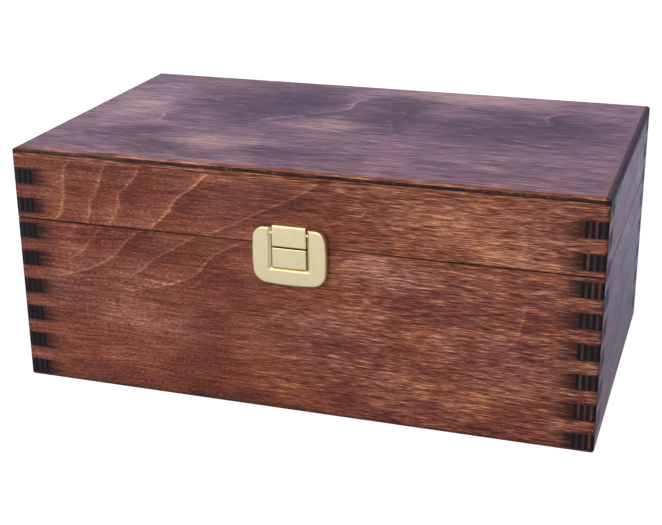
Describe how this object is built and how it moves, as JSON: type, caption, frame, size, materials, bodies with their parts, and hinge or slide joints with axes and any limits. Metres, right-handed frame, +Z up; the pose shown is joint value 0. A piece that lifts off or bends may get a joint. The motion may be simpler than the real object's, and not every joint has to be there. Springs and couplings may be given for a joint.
{
  "type": "compass box",
  "caption": "Stained plywood storage box with finger-jointed corners, a hinged lid sawn from the same box, small back hinges and a brass flap latch on the front.",
  "frame": {"origin": "middle of the footprint, on the underside", "axes": "+X along the width to the right, +Y to the back where the hinges are, +Z up"},
  "size_m": [0.255, 0.1598, 0.107],
  "materials": {
    "stained_plywood": "dark red-brown stain with a satin varnish",
    "satin_brass": "satin, pale gold",
    "hinge_brass": "lightly brushed"
  },
  "bodies": {
    "case": {"case_front_wall": "stained_plywood", "case_back_wall": "stained_plywood", "case_left_wall": "stained_plywood", "case_right_wall": "stained_plywood", "case_bottom_panel": "stained_plywood", "hinge_left_case_leaf": "hinge_brass", "hinge_left_case_leaf_screws": "hinge_brass", "hinge_left_pin": "hinge_brass", "hinge_right_case_leaf": "hinge_brass", "hinge_right_case_leaf_screws": "hinge_brass", "hinge_right_pin": "hinge_brass", "latch_keeper_plate": "satin_brass", "latch_keeper_screws": "satin_brass"},
    "lid": {"lid_front_wall": "stained_plywood", "lid_back_wall": "stained_plywood", "lid_left_wall": "stained_plywood", "lid_right_wall": "stained_plywood", "lid_top_panel": "stained_plywood", "hinge_left_lid_leaf": "hinge_brass", "hinge_left_lid_leaf_screws": "hinge_brass", "hinge_right_lid_leaf": "hinge_brass", "hinge_right_lid_leaf_screws": "hinge_brass", "latch_hasp_plate": "satin_brass", "latch_hasp_screws": "satin_brass", "latch_flap_pin": "satin_brass"},
    "flap": {"latch_flap": "satin_brass"}
  },
  "joints": [
    {"name": "lid_swing", "type": "hinge", "parent": "case", "child": "lid", "pos_m": [0, 0.07795, 0.07555], "axis": [-1, 0, 0], "range_deg": [0, 180]},
    {"name": "flap_swing", "type": "hinge", "parent": "lid", "child": "flap", "pos_m": [0, -0.07875, 0.08145], "axis": [-1, 0, 0], "range_deg": [0, 180]}
  ]
}
